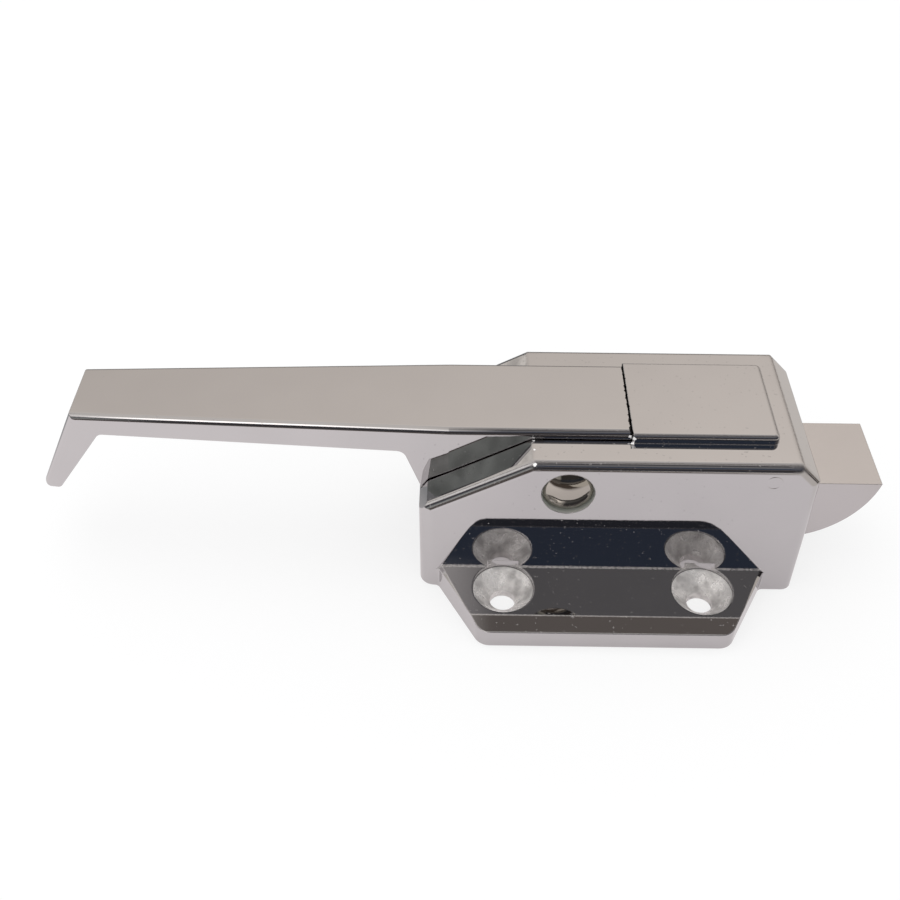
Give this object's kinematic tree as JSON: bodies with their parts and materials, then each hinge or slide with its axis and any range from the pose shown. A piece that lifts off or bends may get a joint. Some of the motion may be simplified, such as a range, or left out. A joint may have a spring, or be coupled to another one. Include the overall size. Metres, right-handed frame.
{
  "type": "freezer door latch",
  "caption": "Surface-mounted lever latch: a long hooked lever on a cross pin in a cast housing draws back a spring-loaded bolt; two flanges take countersunk screws.",
  "frame": {"origin": "middle of the four screw holes, on the mounting face that lies on the door", "axes": "+Z out of the door, +X along the housing towards the bolt, +Y across the housing"},
  "size_m": [0.2529, 0.1006, 0.0538],
  "materials": {
    "housing_chrome": "bright chrome plate on a zinc casting",
    "lever_chrome": "bright chrome plate on a zinc casting",
    "bolt_chrome": "satin chrome plate on a zinc casting",
    "pin_steel": "polished steel",
    "dark_steel": "blackened spring steel",
    "zinc_steel": "zinc-plated steel",
    "spring_steel": "drawn spring wire",
    "nylon": "natural nylon"
  },
  "bodies": {
    "housing": {"housing": "housing_chrome", "pivot_pin": "pin_steel", "retaining_ring": "dark_steel", "spring_bar": "zinc_steel", "spring_stud_front": "zinc_steel", "spring_stud_rear": "zinc_steel", "bolt_spring_front": "spring_steel", "bolt_spring_rear": "spring_steel", "back_plate": "zinc_steel", "back_plate_screws": "zinc_steel"},
    "lever": {"lever": "lever_chrome", "lever_bush_front": "nylon", "lever_bush_rear": "nylon"},
    "bolt": {"bolt": "bolt_chrome", "cross_pin": "pin_steel"}
  },
  "joints": [
    {"name": "lever_hinge", "type": "hinge", "parent": "housing", "child": "lever", "pos_m": [-0.012, 0, 0.0399], "axis": [0, 1, 0], "range_deg": [0, 40]},
    {"name": "bolt_slide", "type": "slide", "parent": "housing", "child": "bolt", "axis": [-1, 0, 0], "range_m": [0, 0.02], "stiffness_N_per_m": 3700, "springref_m": -0.01, "deforming": ["bolt_spring_front", "bolt_spring_rear"]}
  ],
  "couplings": [
    {"joint": "bolt_slide", "follows": "lever_hinge", "m_per_rad": 0.02864}
  ]
}
